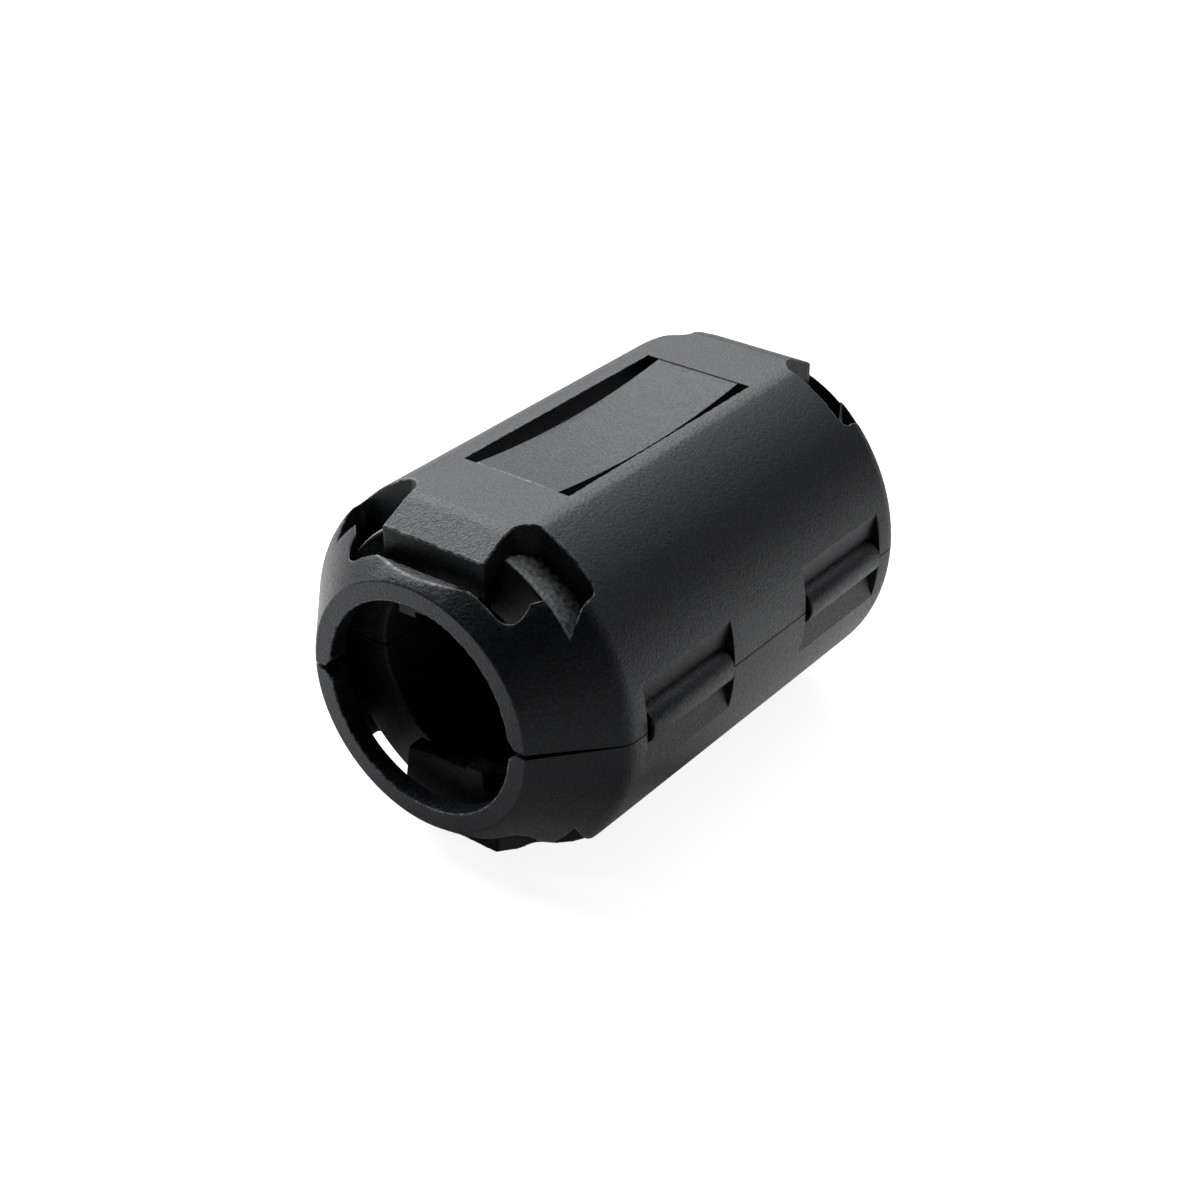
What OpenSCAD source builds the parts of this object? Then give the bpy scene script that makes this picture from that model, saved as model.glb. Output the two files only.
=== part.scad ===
// Clip on ferrite bead: a hinged two-part plastic case around a split ferrite sleeve.
// The cable runs along Y, the hinge is on +X, the latch on -X, and the case shuts at Z = 0.

/* [Case] */
// Length of the case along the cable
case_len = 36; // [32:0.5:44]
// Diameter of the round body
case_d = 23.5; // [22:0.1:26]
// Depth that each flat is cut into the round body
flat_cut = 0.95; // [0.6:0.05:1.1]
// Length of the cone at each end
cone_len = 4.35; // [3.4:0.05:5]
// Rounding between cone and round body
shoulder_r = 1.6; // [0.4:0.1:3]
// Width of the ring that faces the cable at each end
end_rim = 1.2; // [0.9:0.05:1.5]
// Thickness of the end plates
end_wall = 1.25; // [0.8:0.05:1.4]
// Thickness of the cone wall
cone_t = 1.0; // [0.8:0.05:1.2]
// Thickness of the round wall
side_wall = 1.8; // [1.5:0.05:2]
// How far the flat on top of each end plate stands above the ring
end_flat_rise = 0.45; // [0:0.05:0.8]
// Gap between the two half shells along the body
parting_gap = 0.08; // [0.04:0.01:0.2]
// Extra relief of each half at the end plates, running out along the cone
end_relief = 0.13; // [0:0.01:0.3]
// Chamfer on the end plates where the opening meets the parting plane
plate_chamfer = 0.45; // [0:0.05:0.8]

/* [Ferrite] */
// Wall of the ferrite between its bore and its outside
core_wall = 3.7; // [2.5:0.1:4.5]
// Radial room between ferrite and case
core_clear = 0.25; // [0.1:0.05:0.4]
// Room kept free beyond each end of the ferrite
core_end_room = 3.9; // [3.6:0.05:5]
// Chamfer on the ferrite edges
core_edge = 0.15; // [0.1:0.05:0.8]
// Gap between the two ferrite halves
core_gap = 0.06; // [0.02:0.01:0.2]
// How far the end openings stand back from the ferrite bore
open_room = 0.67; // [0.3:0.01:1]

/* [Leaf spring] */
// Distance from the end face to the leaf spring
spring_inset = 9.2; // [8:0.1:12]
// Strip of the flat left outside each slot
spring_strip = 0.78; // [0.4:0.02:1]
// Width of the slot on each side of the leaf spring
spring_slot = 0.85; // [0.6:0.05:1]
// Thickness of the leaf spring
spring_t = 0.44; // [0.36:0.02:0.5]
// How far the ends of the leaf spring lie below the flat
spring_step = 0.05; // [0.02:0.01:0.2]
// Gap left between leaf spring and ferrite
spring_touch = 0.01; // [0:0.01:0.1]

/* [Cable grip fingers] */
// Gap between the end plate and the finger
grip_gap = 0.8; // [0.4:0.05:1]
// Thickness of the finger along the cable
grip_t = 1.2; // [0.8:0.05:1.4]
// Distance from the side of the finger to the end of the slot in front of it
grip_side = 2.7; // [2.2:0.05:3.2]
// How much narrower each side of the finger is at its free edge
grip_taper = 0.85; // [0.4:0.05:1.2]
// How far the free edge stands inside the ferrite bore
grip_reach = 1.2; // [0.6:0.05:1.5]
// Width of the nib at one end of the free edge
grip_nib_w = 1.2; // [0.6:0.05:1.6]
// Height of the nib
grip_nib_h = 0.4; // [0.1:0.05:0.5]
// Slope of the flat above the finger, in degrees
grip_bevel = 26; // [20:1:34]

/* [Corner windows] */
// Distance from the edge of the end face to the end of the slot
slot_rim = 1.52; // [1.2:0.02:2]
// Rounding at the ends of the slot, next to the end plate
slot_r = 1.2; // [0.6:0.05:1.3]
// Distance from the round body to the outer side of a corner window
window_wall = 3.15; // [2.6:0.05:3.6]
// Distance from the end face to the front side of a corner window
window_front = 3.2; // [2.8:0.05:3.6]
// Distance from the end face to the rear side of a corner window
window_rear = 5.7; // [5:0.05:6.4]
// Rounding of the window at the root of the finger
window_root_r = 1.3; // [0.5:0.05:1.6]
// Rounding of the other window corners
window_r = 0.6; // [0.2:0.05:0.7]

/* [Hinge] */
// Distance from the end face to the middle of a strap
hinge_inset = 10.1; // [9.6:0.1:11]
// Length of a strap along the case
strap_len = 7.7; // [5:0.1:8.4]
// Radius of the bowed strap
strap_r = 1.2; // [0.9:0.05:1.4]
// Thickness of the strap
strap_t = 0.35; // [0.25:0.01:0.45]
// Gap at each end of the strap
strap_gap = 0.32; // [0.2:0.02:0.5]
// Half height of the recess behind the strap
recess_half_h = 3.0; // [2.4:0.1:3.4]
// Depth of the recess at the parting plane
recess_depth = 0.95; // [0.7:0.05:1.1]

/* [Latch] */
// Distance from the end face to the middle of a latch
latch_inset = 10.1; // [9.6:0.1:11]
// Width of a latch tongue
tongue_w = 5.0; // [3:0.1:6]
// How far a tongue reaches below the parting plane
tongue_reach = 2.65; // [2.4:0.05:2.8]
// How far a tongue is rooted above the parting plane
tongue_root = 1.9; // [1.2:0.05:2.4]
// Wall left outside a tongue
latch_wall = 0.85; // [0.7:0.05:1]
// Sliding room around a tongue
tongue_clear = 0.12; // [0.08:0.01:0.2]
// How far the barb stands out
barb_out = 0.55; // [0.3:0.05:0.6]
// Distance from the parting plane down to the barb's catch face
barb_top = 1.3; // [1.1:0.05:1.5]
// Straight part of the barb below its catch face
barb_land = 0.3; // [0.1:0.05:0.4]

/* [Hidden] */
$fn = 96;
eps = 0.01;
seat_gap = 0.01;
case_r = case_d/2;
flat_z = case_r - flat_cut;
flat_half_w = sqrt(pow(case_r, 2) - pow(flat_z, 2));
cavity_r = case_r - side_wall;
core_r = cavity_r - core_clear;
core_len = case_len - 2*core_end_room;
bore_r = core_r - core_wall;
open_r = bore_r + open_room;
face_r = open_r + end_rim;
end_flat = face_r + end_flat_rise;
cone_a = atan2(case_r - face_r, cone_len);
cone_wall = cone_t/cos(cone_a);
shoulder_t = shoulder_r*tan(cone_a/2);
cavity_front_r = face_r + end_wall*tan(cone_a) - cone_wall;
cavity_cone_len = (cavity_r - cavity_front_r)/tan(cone_a);
spring_len = case_len - 2*spring_inset;
spring_w = 2*(flat_half_w - spring_strip - spring_slot);
spring_sag = flat_z - core_r - spring_t - spring_touch;
spring_rise = spring_sag - spring_step;
spring_bow_r = (pow(spring_len/2, 2) + pow(spring_rise, 2))/(2*spring_rise);
slot_half_w = face_r - slot_rim;
grip_front = end_wall + grip_gap;
grip_root_w = 2*(slot_half_w - grip_side);
grip_tip_w = grip_root_w - 2*grip_taper;
grip_edge = bore_r - grip_reach;
window_out = case_r - window_wall;
window_low = sqrt(pow(cavity_r, 2) - pow(window_out, 2)) - window_r;
hinge_pitch = case_len - 2*hinge_inset;
recess_x = case_r - recess_depth;
recess_edge_x = sqrt(pow(case_r, 2) - pow(recess_half_h, 2));
recess_len = strap_len + 2*strap_gap;
latch_pitch = case_len - 2*latch_inset;
pocket_x = case_r - latch_wall;
tongue_x = pocket_x - tongue_clear;
far = 3*case_r;

black_plastic = [0.10, 0.10, 0.105];
dark_ferrite = [0.17, 0.17, 0.175];

// Turns a profile drawn as radius and length into a solid around the cable axis
module around_cable() {
    rotate([-90, 0, 0])
        rotate_extrude()
            children();
}

// Extrudes a profile drawn in X and Z along the cable, centred on the middle of the case
module along_cable(length) {
    rotate([90, 0, 0])
        linear_extrude(length, center = true)
            children();
}

// Extrudes a profile drawn in Y and Z across the case
module across_case(width) {
    rotate([90, 0, 90])
        linear_extrude(width, center = true)
            children();
}

// Repeats a shape drawn for the front end, measured from the front face, at both ends
module both_ends() {
    for (side = [0, 1])
        mirror([0, side, 0])
            translate([0, -case_len/2, 0])
                children();
}

// Repeats a shape to the left and right of the middle
module both_sides() {
    for (side = [0, 1])
        mirror([side, 0, 0])
            children();
}

// One end of the outer profile, with the shoulder rounded by a true arc
module outer_profile_end() {
    polygon([
        [0, 0],
        [face_r, 0],
        [case_r - shoulder_t*sin(cone_a), cone_len - shoulder_t*cos(cone_a)],
        [case_r, cone_len + shoulder_t],
        [case_r, case_len/2],
        [0, case_len/2]
    ]);
    translate([case_r - shoulder_r, cone_len + shoulder_t])
        circle(shoulder_r);
}

// Block that stands out of the cone above the fingers of both halves; the end cuts trim it to their width
module grip_block() {
    over = grip_gap/2;
    translate([-grip_root_w/2 - over, grip_front - over, -flat_z])
        cube([grip_root_w + 2*over, cone_len - grip_front + over, 2*flat_z]);
}

// Outer form of the shut case: turned body and blocks, two flats, sloped flats at the ends
module envelope() {
    drop = case_len/2*tan(grip_bevel);
    intersection() {
        union() {
            around_cable()
                for (side = [0, 1])
                    mirror([0, side])
                        translate([0, -case_len/2])
                            outer_profile_end();
            both_ends()
                grip_block();
        }
        across_case(far)
            polygon([
                [-case_len/2 + cone_len, flat_z],
                [case_len/2 - cone_len, flat_z],
                [case_len - cone_len, flat_z - drop],
                [case_len - cone_len, drop - flat_z],
                [case_len/2 - cone_len, -flat_z],
                [-case_len/2 + cone_len, -flat_z],
                [cone_len - case_len, drop - flat_z],
                [cone_len - case_len, flat_z - drop]
            ]);
    }
}

// Room inside the case: end openings, inner cones and the ferrite's seat
module cavity() {
    end_y = case_len/2;
    plate_y = end_y - end_wall;
    seat_y = plate_y - cavity_cone_len;
    around_cable()
        polygon([
            [0, -end_y - eps],
            [open_r, -end_y - eps],
            [open_r, -plate_y],
            [cavity_front_r, -plate_y],
            [cavity_r, -seat_y],
            [cavity_r, seat_y],
            [cavity_front_r, plate_y],
            [open_r, plate_y],
            [open_r, end_y + eps],
            [0, end_y + eps]
        ]);
}

// Rounds off the corner of a cut: x and y give the corner, sx and sy the way into the cut
module corner_fill(x, y, r, sx, sy) {
    translate([x, y])
        difference() {
            translate([sx > 0 ? -eps : -r, sy > 0 ? -eps : -r])
                square(r + eps);
            translate([sx*r, sy*r])
                circle(r);
        }
}

// Plan of the slot in front of the finger and of the corner window on one side
module window_plan() {
    root_x = grip_root_w/2;
    difference() {
        union() {
            translate([0, end_wall])
                square([slot_half_w, grip_gap]);
            translate([root_x, end_wall])
                square([slot_half_w - root_x, window_rear - end_wall]);
            translate([root_x, window_front])
                square([window_out - root_x, window_rear - window_front]);
            polygon([
                [slot_half_w - eps, window_front - window_r],
                [slot_half_w + window_r, window_front + eps],
                [slot_half_w - eps, window_front + eps]
            ]);
        }
        corner_fill(slot_half_w, end_wall, slot_r, -1, 1);
        corner_fill(window_out, window_rear, window_r, -1, -1);
        corner_fill(root_x, window_rear, window_root_r, 1, -1);
    }
}

// Everything that is cut away at one end of a half shell
module end_cuts() {
    both_sides()
        translate([0, 0, window_low])
            linear_extrude(case_r)
                window_plan();
    translate([-case_r, -eps, end_flat])
        cube([2*case_r, end_wall + 2*eps, case_r]);
    across_case(far)
        polygon([[-eps, -eps], [cone_len, -eps], [cone_len, parting_gap/2], [-eps, parting_gap/2 + end_relief]]);
    both_sides()
        translate([open_r, end_wall/2, parting_gap/2 + end_relief])
            rotate([0, 45, 0])
                cube([plate_chamfer*sqrt(2), end_wall + 2*eps, plate_chamfer*sqrt(2)], center = true);
}

// Flexible finger that hangs behind the end plate, with a nib at one end of its free edge
module grip_finger() {
    translate([0, grip_front + grip_t/2, 0])
        along_cable(grip_t) {
            polygon([
                [-grip_tip_w/2, grip_edge],
                [grip_tip_w/2, grip_edge],
                [grip_root_w/2, flat_z - cone_len*tan(grip_bevel)/2],
                [grip_root_w/2, flat_z],
                [-grip_root_w/2, flat_z],
                [-grip_root_w/2, flat_z - cone_len*tan(grip_bevel)/2]
            ]);
            translate([-grip_tip_w/2, grip_edge - grip_nib_h])
                square([grip_nib_w, 2*grip_nib_h]);
        }
}

// Leaf spring of one half, bowed inwards on to the ferrite
module leaf_spring() {
    across_case(spring_w)
        intersection() {
            translate([0, flat_z - spring_sag + spring_bow_r])
                difference() {
                    circle(spring_bow_r + spring_t, $fn = 360);
                    circle(spring_bow_r, $fn = 360);
                }
            translate([-spring_len/2 - 4*eps, 0])
                square([spring_len + 8*eps, flat_z]);
        }
}

// One half shell above the parting plane, before the hinge and the latch are cut
module half_case() {
    intersection() {
        union() {
            difference() {
                envelope();
                cavity();
                translate([0, 0, flat_z])
                    cube([spring_w + 2*spring_slot, spring_len, 2*side_wall], center = true);
            }
            intersection() {
                envelope();
                leaf_spring();
            }
        }
        difference() {
            translate([-far, -far, parting_gap/2])
                cube([2*far, 2*far, far]);
            both_ends()
                end_cuts();
        }
    }
    intersection() {
        envelope();
        both_ends()
            grip_finger();
    }
}

// Shallow recess behind a strap, as seen along the cable
module recess_profile() {
    polygon([
        [recess_x, 0],
        [recess_edge_x, recess_half_h],
        [far, recess_half_h],
        [far, -recess_half_h],
        [recess_edge_x, -recess_half_h]
    ]);
}

module hinge_recesses() {
    for (side = [-1, 1])
        translate([0, side*hinge_pitch/2, 0])
            along_cable(recess_len)
                recess_profile();
}

// Living hinge strap: a thin bow from one half shell to the other
module hinge_strap(y) {
    translate([0, y, 0])
        along_cable(strap_len)
            intersection() {
                translate([recess_x, 0])
                    difference() {
                        circle(strap_r);
                        circle(strap_r - strap_t);
                    }
                translate([seat_gap, 0])
                    recess_profile();
            }
}

// Box that reaches from the latch plane x into the cavity, between two heights
module latch_box(x, low, high, width) {
    for (side = [-1, 1])
        translate([-x, side*latch_pitch/2 - width/2, low])
            cube([x - cavity_r + 2*core_clear, width, high - low]);
}

module latch_windows() {
    for (side = [-1, 1])
        translate([-far, side*latch_pitch/2 - tongue_w/2 - 2*tongue_clear, -tongue_reach])
            cube([far - tongue_x, tongue_w + 4*tongue_clear, tongue_reach - barb_top + tongue_clear]);
}

// Latch tongue rooted in the upper half, with a barb that snaps out into its window
module latch_tongue(y) {
    translate([0, y, 0])
        along_cable(tongue_w)
            polygon([
                [-cavity_r, tongue_root],
                [-tongue_x, tongue_root],
                [-tongue_x, -barb_top],
                [-tongue_x - barb_out, -barb_top],
                [-tongue_x - barb_out, -barb_top - barb_land],
                [-tongue_x, -tongue_reach + 2*tongue_clear],
                [-tongue_x + tongue_clear, -tongue_reach + tongue_clear],
                [-cavity_r, -tongue_reach + tongue_clear]
            ]);
}

// Ferrite sleeve with chamfered edges, before it is split
module ferrite_sleeve() {
    end_y = core_len/2;
    around_cable()
        polygon([
            [bore_r + core_edge, -end_y],
            [core_r - core_edge, -end_y],
            [core_r, -end_y + core_edge],
            [core_r, end_y - core_edge],
            [core_r - core_edge, end_y],
            [bore_r + core_edge, end_y],
            [bore_r, end_y - core_edge],
            [bore_r, -end_y + core_edge]
        ]);
}

module ferrite_half() {
    intersection() {
        ferrite_sleeve();
        translate([-far, -far, core_gap/2])
            cube([2*far, 2*far, far]);
    }
}

module upper_shell() {
    color(black_plastic)
        difference() {
            half_case();
            hinge_recesses();
            latch_box(tongue_x + seat_gap, -eps, tongue_root + seat_gap, tongue_w + 2*seat_gap);
        }
}

module lower_shell() {
    color(black_plastic)
        difference() {
            rotate([0, 180, 0])
                half_case();
            hinge_recesses();
            latch_box(pocket_x, -tongue_reach - tongue_clear, eps, tongue_w + 4*tongue_clear);
            latch_windows();
        }
}

module upper_ferrite() {
    color(dark_ferrite)
        ferrite_half();
}

module lower_ferrite() {
    color(dark_ferrite)
        rotate([0, 180, 0])
            ferrite_half();
}

module hinge_strap_front() {
    color(black_plastic)
        hinge_strap(-hinge_pitch/2);
}

module hinge_strap_rear() {
    color(black_plastic)
        hinge_strap(hinge_pitch/2);
}

module latch_tongue_front() {
    color(black_plastic)
        latch_tongue(-latch_pitch/2);
}

module latch_tongue_rear() {
    color(black_plastic)
        latch_tongue(latch_pitch/2);
}

upper_shell();
lower_shell();
upper_ferrite();
lower_ferrite();
hinge_strap_front();
hinge_strap_rear();
latch_tongue_front();
latch_tongue_rear();
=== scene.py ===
"""Looks of the clip on ferrite bead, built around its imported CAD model."""
import math

import bmesh
import bpy
from mathutils import Matrix, Vector, noise


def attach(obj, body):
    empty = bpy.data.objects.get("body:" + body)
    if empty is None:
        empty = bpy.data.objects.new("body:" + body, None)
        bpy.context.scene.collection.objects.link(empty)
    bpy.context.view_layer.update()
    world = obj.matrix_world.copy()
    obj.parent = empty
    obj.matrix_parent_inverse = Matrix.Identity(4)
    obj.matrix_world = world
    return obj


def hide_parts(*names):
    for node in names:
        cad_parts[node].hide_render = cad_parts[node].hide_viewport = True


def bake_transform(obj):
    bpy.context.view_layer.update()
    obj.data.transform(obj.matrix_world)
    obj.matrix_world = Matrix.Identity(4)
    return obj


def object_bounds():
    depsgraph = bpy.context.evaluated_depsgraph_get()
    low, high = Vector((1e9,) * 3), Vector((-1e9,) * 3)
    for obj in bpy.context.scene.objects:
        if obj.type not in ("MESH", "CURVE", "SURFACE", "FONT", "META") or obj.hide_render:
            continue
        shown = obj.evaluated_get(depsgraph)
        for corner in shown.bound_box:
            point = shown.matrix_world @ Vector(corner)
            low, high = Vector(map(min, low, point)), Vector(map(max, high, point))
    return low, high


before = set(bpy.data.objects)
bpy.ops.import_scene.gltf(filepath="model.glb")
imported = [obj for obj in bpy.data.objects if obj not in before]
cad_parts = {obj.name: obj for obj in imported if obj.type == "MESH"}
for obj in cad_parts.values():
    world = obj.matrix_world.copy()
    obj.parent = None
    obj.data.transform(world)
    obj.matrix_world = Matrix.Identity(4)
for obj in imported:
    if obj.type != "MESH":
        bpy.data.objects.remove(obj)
cad_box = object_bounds()
scene = bpy.context.scene
MM = 0.001

# Sizes of the case, in millimetres
HALF_LEN = cad_box[1].y / MM
FLAT_Z = cad_box[1].z / MM
CASE_R = -cad_box[0].x / MM
RING_R = 7.87
CONE_LEN = 4.35
END_PLATE = 1.25
PLATE_TOP = 8.32
END_ZONE = 6.2
BLOCK_HALF_W = 3.65
BLOCK_SLOPE = math.radians(26)
LEAF_END = 8.8
LEAF_HALF_W = 3.0
FINGER_EDGE = 4.8
FINGER_SPAN = (2.05, 3.25)
FLAT_TURN = math.acos(FLAT_Z / CASE_R)

# Finish of the edges, in millimetres: how far they are rounded, and how finely the cut ones are split
RING_ROUND = 0.1
FINGER_ROUND = 0.25
CUT_ROUND = 0.11
SLOT_ROUND = 0.05
TONGUE_ROUND = 0.06
FERRITE_ROUND = 0.08
WIDEST = 0.3
SOFT = 0.6
CREASE = 0.22
CUT_STEP = 0.25
RAGGED = 0.03
RAGGED_PER_MM = 5
RAGGED_SEED = 1
NEAR = 0.02

# Turns between two faces, in degrees, up to which an edge is left as it is or shades smoothly
GENTLE_TURN = 15
PLAIN_TURN = 28
SMOOTH_TURN = 25


# Colours and nodes
def srgb(code, alpha=1.0):
    """A written colour such as 1d1e20 as linear values."""
    channels = [int(code[i:i + 2], 16) / 255 for i in (0, 2, 4)]
    return [c / 12.92 if c <= 0.04045 else ((c + 0.055) / 1.055) ** 2.4 for c in channels] + [alpha]


def add(tree, kind, inputs=None, **settings):
    """Adds a node, with its settings, and sets or links its inputs."""
    node = tree.nodes.new(kind)
    for key, value in settings.items():
        setattr(node, key, value)
    for key, value in (inputs or {}).items():
        if isinstance(value, bpy.types.NodeSocket):
            tree.links.new(value, node.inputs[key])
        else:
            node.inputs[key].default_value = value
    return node


def new_material(name):
    material = bpy.data.materials.new(name)
    material.use_nodes = True
    material.node_tree.nodes.clear()
    return material, material.node_tree


def per_mm(size):
    """Scale of a texture in Object coordinates whose features are about size millimetres."""
    return 1 / (size * MM)


# Moulded nylon: near black, and dull from the fine grain of a spark-eroded mould
def moulded_nylon(name, low, high, patch, spread, rough, grain, sheen=0.5):
    """The real grain of about 0.05 mm is too fine to show, so it is drawn at 0.18 mm."""
    material, tree = new_material(name)
    place = add(tree, "ShaderNodeTexCoord").outputs["Object"]
    fine = add(tree, "ShaderNodeTexNoise", {"Vector": place, "Scale": per_mm(0.18), "Detail": 3.0,
                                            "Roughness": 0.7})
    speckle = add(tree, "ShaderNodeTexNoise", {"Vector": place, "Scale": per_mm(patch), "Detail": 4.0,
                                               "Roughness": 0.75})
    tone = add(tree, "ShaderNodeMapRange", {"Value": speckle.outputs["Fac"], "From Min": spread[0],
                                            "From Max": spread[1]})
    colour = add(tree, "ShaderNodeMix", {"Factor": tone.outputs["Result"], "A": srgb(low), "B": srgb(high)},
                 data_type="RGBA")
    gloss = add(tree, "ShaderNodeMapRange", {"Value": fine.outputs["Fac"], "From Min": 0.3, "From Max": 0.7,
                                             "To Min": rough[0], "To Max": rough[1]})
    bump = add(tree, "ShaderNodeBump", {"Height": fine.outputs["Fac"], "Strength": 1.0,
                                        "Distance": grain * MM})
    shader = add(tree, "ShaderNodeBsdfPrincipled", {"Base Color": colour.outputs["Result"], "IOR": 1.5,
                                                    "Specular Tint": srgb("f9fbff"),
                                                    "Specular IOR Level": sheen,
                                                    "Roughness": gloss.outputs["Result"],
                                                    "Normal": bump.outputs["Normal"]})
    add(tree, "ShaderNodeOutputMaterial", {"Surface": shader.outputs["BSDF"]})
    return material


# Plain faces have an even, soft gloss
nylon = moulded_nylon("black_moulded_nylon", "030406", "1e2127", 0.16, (0.42, 0.6), (0.26, 0.52), 0.052)
# Trimmed edges are torn, and whitened in places; the same lighter colour is laid on the leaf's crease as a
# painted highlight
nylon_edge_and_highlight = moulded_nylon("black_nylon_cut_edge_and_highlight", "131416", "96999d", 0.5, (0.44, 0.68), (0.36, 0.5), 0.018)
# Walls of the end's slots and windows get a darker, duller copy of the nylon, as painted shade in these
# recesses
nylon_painted_shade = moulded_nylon("black_nylon_painted_shade_wall", "0b0c0d", "24262a", 0.16, (0.42, 0.6), (0.26, 0.4),
                            0.03, sheen=0.18)
# The slope of the proud block has a coarser grain, and lighter speckles in its colour as painted glints
nylon_coarse_and_glint = moulded_nylon("black_nylon_coarse_face_painted_glint", "08090b", "3a3d43", 0.16, (0.42, 0.6), (0.28, 0.5),
                             0.075)


# Sintered ferrite: grey ceramic with pressed grain; the round outside has more sheen and a lighter colour,
# which is painted light
def sintered_ferrite(name, low, high, sheen):
    """The real grain of about 0.02 mm is too fine to show, so it is drawn at 0.25 mm."""
    material, tree = new_material(name)
    place = add(tree, "ShaderNodeTexCoord").outputs["Object"]
    grain = add(tree, "ShaderNodeTexNoise", {"Vector": place, "Scale": per_mm(0.25), "Detail": 4.0})
    tone = add(tree, "ShaderNodeMapRange", {"Value": grain.outputs["Fac"], "From Min": 0.35,
                                            "From Max": 0.65})
    colour = add(tree, "ShaderNodeMix", {"Factor": tone.outputs["Result"], "A": srgb(low), "B": srgb(high)},
                 data_type="RGBA")
    rough = add(tree, "ShaderNodeMapRange", {"Value": grain.outputs["Fac"], "To Min": 0.4, "To Max": 0.65})
    bump = add(tree, "ShaderNodeBump", {"Height": grain.outputs["Fac"], "Strength": 0.5,
                                        "Distance": 0.04 * MM})
    shader = add(tree, "ShaderNodeBsdfPrincipled", {"Base Color": colour.outputs["Result"], "IOR": 2.0,
                                                    "Specular IOR Level": sheen,
                                                    "Roughness": rough.outputs["Result"],
                                                    "Normal": bump.outputs["Normal"]})
    add(tree, "ShaderNodeOutputMaterial", {"Surface": shader.outputs["BSDF"]})
    return material


# Ends and bore are dark and dull, as painted shade
ferrite = sintered_ferrite("sintered_ferrite", "1c1d1f", "36383b", 0.1)
# The round outside has more sheen, and a lighter colour as painted light
ferrite_painted_light = sintered_ferrite("ferrite_outside_painted_light", "4c4f53", "c0c3c8", 1.0)
# Parting faces are lapped to an even grey
ferrite_lapped = sintered_ferrite("lapped_ferrite", "2e3134", "4b4e52", 0.45)


# Edges: how far each is rounded off, in millimetres, and whether it was cut or trimmed
def depth_under_skin(x, z, from_end):
    """How far a point of a half shell lies under the outer form."""
    if from_end > END_PLATE and x < BLOCK_HALF_W + 0.1:
        return FLAT_Z - max(CONE_LEN - from_end, 0) * math.tan(BLOCK_SLOPE) - z
    round_form = min(RING_R + from_end * (CASE_R - RING_R) / CONE_LEN, CASE_R)
    return min(round_form - math.hypot(x, z), (FLAT_Z if from_end > END_PLATE else PLATE_TOP) - z)


def shell_edge(mid, turn):
    x, y, z = (abs(c) for c in mid)
    from_end = HALF_LEN - y
    if turn < GENTLE_TURN or z < 0.3:
        return 0.0, False
    if from_end < NEAR:
        return RING_ROUND, math.hypot(x, z) <= RING_R - 0.3
    on_finger_side = min(abs(from_end - side) for side in FINGER_SPAN) < NEAR
    if turn > PLAIN_TURN and abs(z - FINGER_EDGE) < NEAR and on_finger_side:
        return FINGER_ROUND, False
    if turn < PLAIN_TURN or depth_under_skin(x, z, from_end) > 0.12:
        return 0.0, False
    if from_end < END_ZONE and z > 3.5:
        return CUT_ROUND, True
    if y > LEAF_END - CREASE - NEAR and x < LEAF_HALF_W + NEAR and z > FLAT_Z - 0.2:
        return 0.0, False
    return SLOT_ROUND, z > FLAT_Z - 0.2


def tongue_edge(mid, turn):
    return (TONGUE_ROUND if turn > PLAIN_TURN else 0.0), False


def ferrite_edge(mid, turn):
    return (FERRITE_ROUND if turn > PLAIN_TURN else 0.0), False


# Places of a half shell that show another finish than its plain faces
def on_trimmed_edge(mid):
    """Whether a rounding lies on a trimmed edge, not on a soft one of the form."""
    x, y, z = (abs(c) for c in mid)
    from_end = HALF_LEN - y
    if from_end < 0.35:
        return math.hypot(x, z) < RING_R - 0.5
    if from_end > END_ZONE:
        return z > FLAT_Z - 0.2 and x < LEAF_HALF_W + 0.9
    on_slope_edge = abs(from_end - CONE_LEN) < 0.45 and z > FLAT_Z - 0.3 and x < BLOCK_HALF_W - 0.15
    return z > FINGER_EDGE + 0.4 and not on_slope_edge


def on_leaf_highlight_strip(mid):
    """Whether a face lies on the strip at the front end of the leaf spring that takes the lighter edge colour
    as a painted highlight.
    """
    return abs(mid.x) < LEAF_HALF_W and 0 < mid.y + LEAF_END < CREASE and abs(mid.z) > FLAT_Z - 0.1


def on_shaded_wall(mid):
    """Whether a face is a wall of the end's slots and windows, which gets the painted shade."""
    x, y, z = (abs(c) for c in mid)
    from_end = HALF_LEN - y
    in_shaded_part = END_PLATE - 0.1 < from_end < END_ZONE and z > FINGER_EDGE
    return in_shaded_part and depth_under_skin(x, z, from_end) > 0.2


def on_block_slope(mid):
    """Whether a face lies on the slope of the proud block."""
    x, y, z = (abs(c) for c in mid)
    from_end = HALF_LEN - y
    on_block = x < BLOCK_HALF_W and END_PLATE < from_end < CONE_LEN - 0.3
    return on_block and depth_under_skin(x, z, from_end) < 0.1


def shell_surface(mid, normal, rounded):
    """Which of a half shell's materials a face shows."""
    # Trimmed edges take the torn, whitened colour; the leaf's crease takes it as a painted highlight
    if rounded and on_trimmed_edge(mid) or on_leaf_highlight_strip(mid):
        return 1
    # Walls of the slots and windows take the painted shade
    if on_shaded_wall(mid):
        return 2
    return 3 if on_block_slope(mid) else 0


def ferrite_surface(mid, normal, rounded):
    """The round outside takes the painted light, the parting faces are lapped, the ends and the bore take the
    painted shade.
    """
    if abs(mid.z) < 0.1 and not rounded:
        return 2
    return 1 if abs(normal.y) < 0.7 and normal.x * mid.x + normal.z * mid.z > 3 else 0


# Soft folds and the leaf's crease, cut into a half shell's skin
def cut_across(work, faces, spot, way):
    """Cuts some faces along a plane, with their parts in a fixed order."""
    parts = faces + [e for f in faces for e in f.edges] + [v for f in faces for v in f.verts]
    bmesh.ops.bisect_plane(work, geom=list(dict.fromkeys(parts)), dist=0.002, plane_co=spot, plane_no=way)


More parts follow.
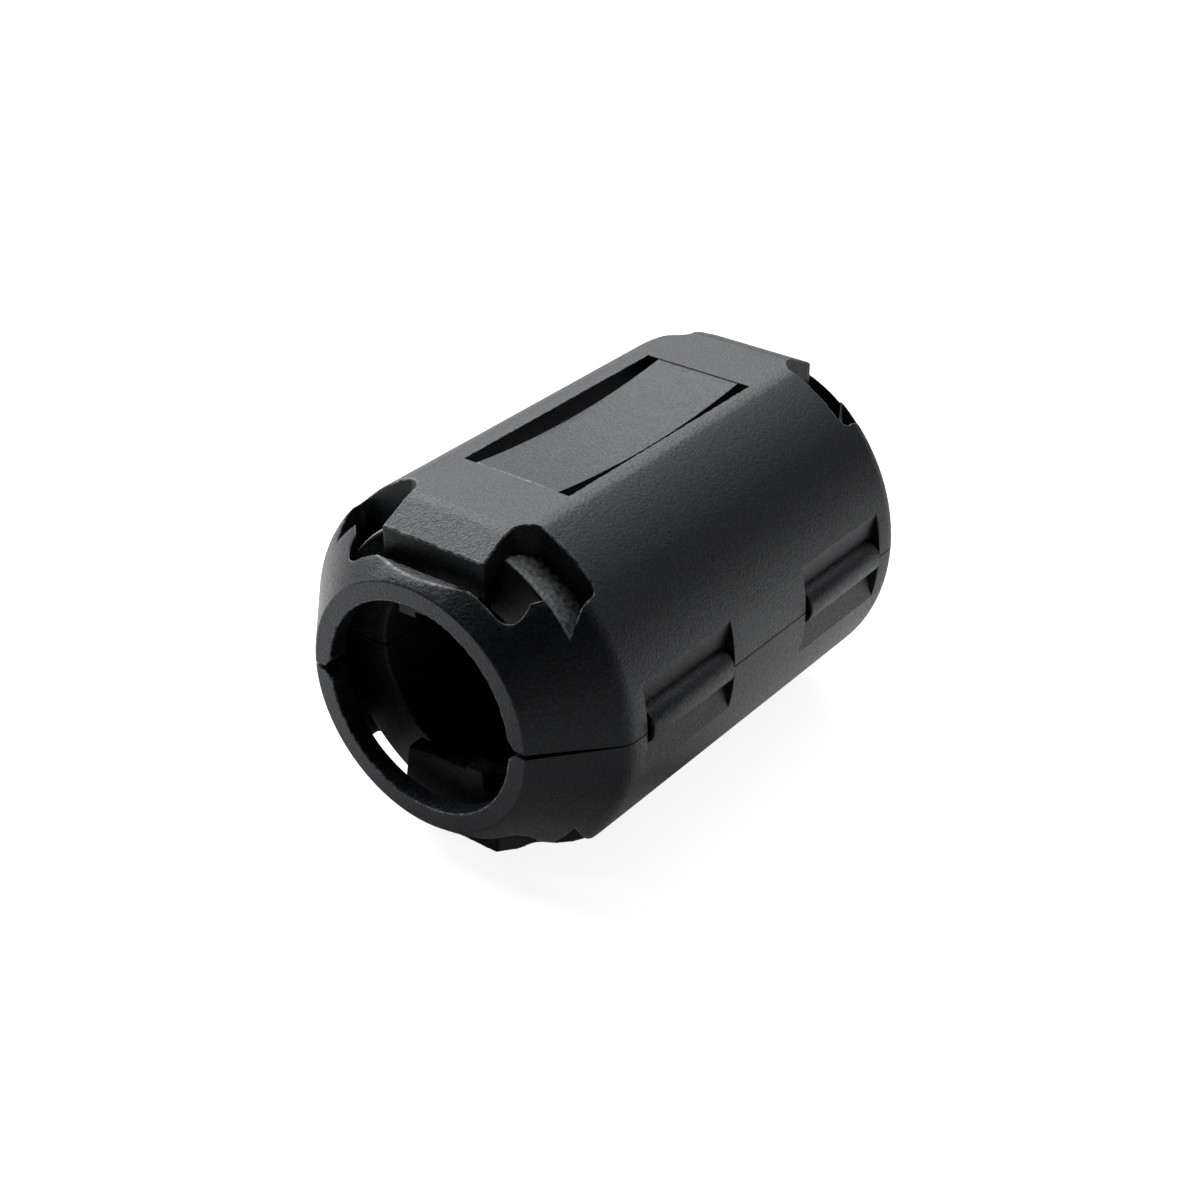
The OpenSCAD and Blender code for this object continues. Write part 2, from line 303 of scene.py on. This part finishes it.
def soft_fold(corner):
    """How far a corner on the skin lies from a soft fold of the form, with the fold's lean and turn."""
    x, y, z = (abs(c) for c in corner)
    from_end = HALF_LEN - y
    if x < BLOCK_HALF_W + 0.01 and from_end < CONE_LEN + SOFT:
        away = from_end - CONE_LEN
        if away < 0:
            away /= -math.cos(BLOCK_SLOPE)
        if abs(depth_under_skin(x, z, from_end)) < 0.01 and from_end > END_PLATE:
            return away, Vector((0, math.sin(BLOCK_SLOPE / 2), math.cos(BLOCK_SLOPE / 2))), BLOCK_SLOPE
    edge_x = CASE_R * math.sin(FLAT_TURN)
    lean = Vector((math.sin(FLAT_TURN / 2), 0, math.cos(FLAT_TURN / 2)))
    if from_end > CONE_LEN and z > FLAT_Z - 0.01:
        return abs(edge_x - x), lean, FLAT_TURN
    if from_end > CONE_LEN and z > 9 and abs(math.hypot(x, z) - CASE_R) < 0.03:
        return CASE_R * abs(math.atan2(x, z) - FLAT_TURN), lean, FLAT_TURN
    return SOFT, lean, 0.0


def soften_folds(work):
    """Cuts the skin along each soft fold of a half shell and sinks the cuts on to a round."""
    cuts = []
    for step in (SOFT, SOFT / 2):
        past = FLAT_TURN + step / CASE_R
        for side in (-1, 1):
            cuts.append(((side * (CASE_R * math.sin(FLAT_TURN) - step), 0, 0), (1, 0, 0)))
            cuts.append(((side * CASE_R * math.sin(past), 0, 0), (1, 0, 0)))
            cuts.append(((0, side * (HALF_LEN - CONE_LEN - step), 0), (0, 1, 0)))
            cuts.append(((0, side * (HALF_LEN - CONE_LEN + step * math.cos(BLOCK_SLOPE)), 0), (0, 1, 0)))
    for spot, way in cuts:
        skin = [f for f in work.faces if abs(f.normal.z) > 0.85 and all(
            abs(v.co.z) > 9
            and abs(depth_under_skin(abs(v.co.x), abs(v.co.z), HALF_LEN - abs(v.co.y))) < 0.05
            for v in f.verts)]
        cut_across(work, skin, spot, way)
    for vert in work.verts:
        away, lean, turn = soft_fold(vert.co)
        if away < SOFT:
            drop = (SOFT - away) ** 2 * math.tan(turn / 2) / (2 * SOFT)
            vert.co -= Vector([math.copysign(a, b) for a, b in zip(lean, vert.co)]) * drop


def crease_leaf(work):
    """Cuts a fine strip across the front end of the leaf spring, which is given the lighter edge colour as a
    painted highlight.
    """
    leaf = [f for f in work.faces if abs(f.normal.z) > 0.85 and f.normal.z * f.verts[0].co.z > 0 and all(
        abs(v.co.x) < LEAF_HALF_W + NEAR and abs(v.co.z) > FLAT_Z - 1 and abs(v.co.y) < LEAF_END + NEAR
        for v in f.verts)]
    cut_across(work, leaf, (0, CREASE - LEAF_END, 0), (0, 1, 0))


# Finished pieces: copies of the CAD nodes with their edges rounded off as they leave the mould
def split_cut_edges(work, rule):
    """Splits the cut edges into short steps, so that they can be a little ragged."""
    for edge in list(work.edges):
        start, end = (v.co for v in edge.verts)
        parts = int((end - start).length / CUT_STEP)
        if parts > 1 and edge.is_manifold:
            width, cut = rule((start + end) / 2, math.degrees(edge.calc_face_angle(0)))
            if cut and width:
                rest, near, far = edge, edge.verts[0], edge.verts[1]
                for left in range(parts, 1, -1):
                    near = bmesh.utils.edge_split(rest, near, 1 / left)[1]
                    rest = next(e for e in near.link_edges if far in e.verts)


def weigh_edges(work, rule):
    """Marks each edge with how far it is to be rounded."""
    weight = work.edges.layers.float.new("bevel_weight_edge")
    for edge in work.edges:
        if edge.is_manifold:
            mid = (edge.verts[0].co + edge.verts[1].co) / 2
            turn = math.degrees(edge.calc_face_angle(0))
            edge[weight] = rule(mid, turn)[0] / WIDEST
            edge.smooth = turn < SMOOTH_TURN or edge[weight] > 0


def plain_mesh(holder):
    """The mesh of an object with its modifiers applied; the object itself is removed."""
    bpy.context.view_layer.update()
    mesh = bpy.data.meshes.new_from_object(holder.evaluated_get(bpy.context.evaluated_depsgraph_get()))
    bpy.data.objects.remove(holder)
    return mesh


def rounded_mesh(mesh, name):
    """Rounds the marked edges of a mesh; the new faces carry the second material."""
    holder = bpy.data.objects.new(name + "_work", mesh)
    scene.collection.objects.link(holder)
    bevel = holder.modifiers.new("edges", "BEVEL")
    bevel.limit_method = "WEIGHT"
    bevel.offset_type = "OFFSET"
    bevel.width = WIDEST
    bevel.segments = 2
    bevel.use_clamp_overlap = False
    bevel.loop_slide = False
    bevel.material = 1
    return plain_mesh(holder)


def finished_copy(node, name, rule, materials, surface=None):
    """A copy of a CAD node with its edges rounded off by a rule and its faces given their finishes."""
    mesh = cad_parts[node].data.copy()
    work = bmesh.new()
    work.from_mesh(mesh)
    bmesh.ops.scale(work, vec=(1 / MM,) * 3, verts=work.verts)
    bmesh.ops.remove_doubles(work, verts=work.verts, dist=0.0005)
    bmesh.ops.dissolve_limit(work, angle_limit=math.radians(0.4), verts=work.verts, edges=work.edges)
    if rule is shell_edge:
        soften_folds(work)
        crease_leaf(work)
    split_cut_edges(work, rule)
    weigh_edges(work, rule)
    for face in work.faces:
        face.material_index = 0
    work.to_mesh(mesh)
    work.free()
    mesh.materials.clear()
    for material in materials:
        mesh.materials.append(material)
    done = rounded_mesh(mesh, name)
    work = bmesh.new()
    work.from_mesh(done)
    for face in work.faces:
        rounded = face.material_index == 1
        face.material_index = surface(face.calc_center_median(), face.normal, rounded) if surface else 0
        face.smooth = True
    low, high = cad_box[0] / MM, cad_box[1] / MM
    for vert in work.verts:
        if rule is shell_edge and vert.link_faces and all(f.material_index == 1 for f in vert.link_faces):
            vert.co += noise.noise_vector(vert.co * RAGGED_PER_MM) * RAGGED
        vert.co = [min(max(c, a), b) for c, a, b in zip(vert.co, low, high)]
    bmesh.ops.scale(work, vec=(MM,) * 3, verts=work.verts)
    bmesh.ops.recalc_face_normals(work, faces=work.faces)
    work.to_mesh(done)
    work.free()
    done.name = name
    piece = bpy.data.objects.new(name, done)
    scene.collection.objects.link(piece)
    even = piece.modifiers.new("even_normals", "WEIGHTED_NORMAL")
    even.keep_sharp = True
    return piece


def place_piece(piece, node, body):
    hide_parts(node)
    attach(piece, body)


noise.seed_set(RAGGED_SEED)
for half in ("upper", "lower"):
    shell = finished_copy(half + "_shell", half + "_shell_moulded", shell_edge,
                          (nylon, nylon_edge_and_highlight, nylon_painted_shade, nylon_coarse_and_glint), shell_surface)
    place_piece(shell, half + "_shell", half + "_half")
    core = finished_copy(half + "_ferrite", half + "_ferrite_painted_light", ferrite_edge,
                         (ferrite, ferrite_painted_light, ferrite_lapped), ferrite_surface)
    place_piece(core, half + "_ferrite", half + "_half")
for end in ("front", "rear"):
    tongue = finished_copy("latch_tongue_" + end, "latch_tongue_" + end + "_moulded", tongue_edge,
                           (nylon, nylon))
    place_piece(tongue, "latch_tongue_" + end, "upper_half")

# Hinge straps: a thin bow swept along its arc, from the lower half round to the upper half
STRAP_R = 1.02
STRAP_THICK = 0.35
STRAP_SWEEP = math.radians(161)
STRAP_EDGE = 0.07
STRAP_X = 10.8


def strap_tree():
    tree = bpy.data.node_groups.new("bowed_strap", "GeometryNodeTree")
    for name in ("Radius", "Thickness", "Length", "Sweep", "Edge", "Side", "Along"):
        tree.interface.new_socket(name, in_out="INPUT", socket_type="NodeSocketFloat")
    tree.interface.new_socket("Material", in_out="INPUT", socket_type="NodeSocketMaterial")
    tree.interface.new_socket("Geometry", in_out="OUTPUT", socket_type="NodeSocketGeometry")
    given = add(tree, "NodeGroupInput").outputs
    start = add(tree, "ShaderNodeMath", {0: given["Sweep"], 1: -0.5}, operation="MULTIPLY")
    arc = add(tree, "GeometryNodeCurveArc", {"Resolution": 56, "Radius": given["Radius"],
                                             "Start Angle": start.outputs[0], "Sweep Angle": given["Sweep"]})
    strip = add(tree, "GeometryNodeCurvePrimitiveQuadrilateral", {"Width": given["Thickness"],
                                                                  "Height": given["Length"]})
    eased = add(tree, "GeometryNodeFilletCurve", {"Curve": strip.outputs["Curve"], "Count": 3,
                                                  "Radius": given["Edge"]}, mode="POLY")
    bow = add(tree, "GeometryNodeCurveToMesh", {"Curve": arc.outputs["Curve"],
                                                "Profile Curve": eased.outputs["Curve"], "Fill Caps": True})
    spot = add(tree, "ShaderNodeCombineXYZ", {"X": given["Side"], "Y": given["Along"]})
    stood = add(tree, "GeometryNodeTransform", {"Geometry": bow.outputs["Mesh"],
                                                "Translation": spot.outputs["Vector"],
                                                "Rotation": (math.pi / 2, 0, 0)})
    whole = add(tree, "GeometryNodeRealizeInstances", {"Geometry": stood.outputs["Geometry"]})
    clad = add(tree, "GeometryNodeSetMaterial", {"Geometry": whole.outputs["Geometry"],
                                                 "Material": given["Material"]})
    add(tree, "NodeGroupOutput", {"Geometry": clad.outputs["Geometry"]})
    return tree


def hinge_strap(node, tree):
    corners = [v.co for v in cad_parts[node].data.vertices]
    front, rear = min(c.y for c in corners), max(c.y for c in corners)
    sizes = {"Radius": STRAP_R * MM, "Thickness": STRAP_THICK * MM, "Length": rear - front,
             "Sweep": STRAP_SWEEP, "Edge": STRAP_EDGE * MM, "Side": STRAP_X * MM, "Along": (front + rear) / 2,
             "Material": nylon}
    holder = bpy.data.objects.new(node + "_work", bpy.data.meshes.new(node + "_work"))
    scene.collection.objects.link(holder)
    bow = holder.modifiers.new("bow", "NODES")
    bow.node_group = tree
    for item in tree.interface.items_tree:
        if item.in_out == "INPUT":
            bow[item.identifier] = sizes[item.name]
    mesh = plain_mesh(holder)
    mesh.name = node + "_bowed"
    for face in mesh.polygons:
        face.use_smooth = True
    strap = bpy.data.objects.new(node + "_bowed", mesh)
    scene.collection.objects.link(strap)
    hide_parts(node)
    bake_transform(strap)


bow_tree = strap_tree()
for end in ("front", "rear"):
    hinge_strap("hinge_strap_" + end, bow_tree)

# Floor and background: white to the camera, with painted pools of light that show only in the case's
# reflections
FLOOR_HALF = 3.0
FLOOR_GREY = (0.5, 0.5, 0.5, 1)
FLOOR_WHITE = (0.9, 0.9, 0.9, 1)
# Middle and reach of each painted pool of light in millimetres, and its strength
FLOOR_PAINTED_POOLS = (((75, 60), 75, 0.75), ((-40, -30), 40, 0.53), ((-60, 0), 60, 0.7), ((24, 12), 24, 0.68),
               ((7, -11), 9, 0.25))


def white_floor():
    low = cad_box[0].z
    mesh = bpy.data.meshes.new("floor")
    corners = ((-1, -1), (1, -1), (1, 1), (-1, 1))
    mesh.from_pydata([(x * FLOOR_HALF, y * FLOOR_HALF, low) for x, y in corners], [], [(0, 1, 2, 3)])
    floor = bpy.data.objects.new("floor", mesh)
    scene.collection.objects.link(floor)
    material, tree = new_material("white_floor")
    path = add(tree, "ShaderNodeLightPath")
    place = add(tree, "ShaderNodeTexCoord").outputs["Object"]
    matte = add(tree, "ShaderNodeBsdfDiffuse", {"Color": FLOOR_GREY})
    glow = path.outputs["Is Camera Ray"]
    # Painted pools of light, added for glossy rays only
    for spot, reach, strength in FLOOR_PAINTED_POOLS:
        away = add(tree, "ShaderNodeVectorMath", {0: place, 1: [c * MM for c in spot] + [low]},
                   operation="DISTANCE")
        pool = add(tree, "ShaderNodeMapRange", {"Value": away.outputs["Value"], "From Min": reach * MM * 0.5,
                                                "From Max": reach * MM, "To Min": strength, "To Max": 0.0},
                   interpolation_type="SMOOTHSTEP")
        glow = add(tree, "ShaderNodeMath", {0: pool.outputs["Result"], 1: path.outputs["Is Glossy Ray"],
                                            2: glow}, operation="MULTIPLY_ADD").outputs[0]
    lift = add(tree, "ShaderNodeEmission", {"Color": FLOOR_WHITE, "Strength": glow})
    both = add(tree, "ShaderNodeAddShader", {0: matte.outputs["BSDF"], 1: lift.outputs["Emission"]})
    add(tree, "ShaderNodeOutputMaterial", {"Surface": both.outputs["Shader"]})
    mesh.materials.append(material)


def white_world():
    world = bpy.data.worlds.new("studio")
    world.use_nodes = True
    tree = world.node_tree
    tree.nodes.clear()
    path = add(tree, "ShaderNodeLightPath")
    back = add(tree, "ShaderNodeBackground", {"Color": (1, 1, 1, 1),
                                              "Strength": path.outputs["Is Camera Ray"]})
    add(tree, "ShaderNodeOutputWorld", {"Surface": back.outputs["Background"]})
    scene.world = world


white_floor()
white_world()

# Lights: soft boxes by compass turn and height in degrees, and brightness
BOX_AWAY = 400
BOX_SIDE = 300
SOFT_BOXES = (("left_high", 180, 41, 5.3), ("back_left_high", 135, 41, 3.4), ("back_high", 90, 41, 0.85),
              ("overhead", 60, 66, 1.0), ("back_left_low", 135, 16, 0.46), ("back_right_low", 45, 16, 0.22),
              ("front_left_low", 225, 16, 0.15))


def soft_box(name, turn, height, radiance):
    data = bpy.data.lights.new(name, "AREA")
    data.shape = "RECTANGLE"
    data.size = data.size_y = BOX_SIDE * MM
    data.energy = radiance * math.pi * data.size * data.size_y
    light = bpy.data.objects.new(name, data)
    level = math.cos(math.radians(height))
    way = Vector((level * math.cos(math.radians(turn)), level * math.sin(math.radians(turn)),
                  math.sin(math.radians(height))))
    light.location = way * BOX_AWAY * MM
    light.rotation_euler = way.to_track_quat("Z", "Y").to_euler()
    scene.collection.objects.link(light)


for box in SOFT_BOXES:
    soft_box(*box)
scene.view_settings.view_transform = "Standard"

# Camera at the photograph's viewing point, with the focal length and width of the picture in pixels
FOCAL_PX = 2111
PICTURE_PX = 1200
CAMERA_AT = (69.135, -88.541, 66.137)
CAMERA_RIGHT = (0.78853, 0.61486, -0.01313)
CAMERA_UP = (-0.30846, 0.41387, 0.85648)
CAMERA_BACK = (0.53205, -0.67131, 0.51601)
camera_data = bpy.data.cameras.new("camera")
camera_data.sensor_width = 36
camera_data.lens = FOCAL_PX / PICTURE_PX * 36
camera_data.clip_start = 0.01
camera = bpy.data.objects.new("camera", camera_data)
camera_turn = Matrix((CAMERA_RIGHT, CAMERA_UP, CAMERA_BACK)).transposed().to_4x4()
camera.matrix_world = Matrix.Translation(Vector(CAMERA_AT) * MM) @ camera_turn
scene.collection.objects.link(camera)
scene.camera = camera

bpy.context.view_layer.update()
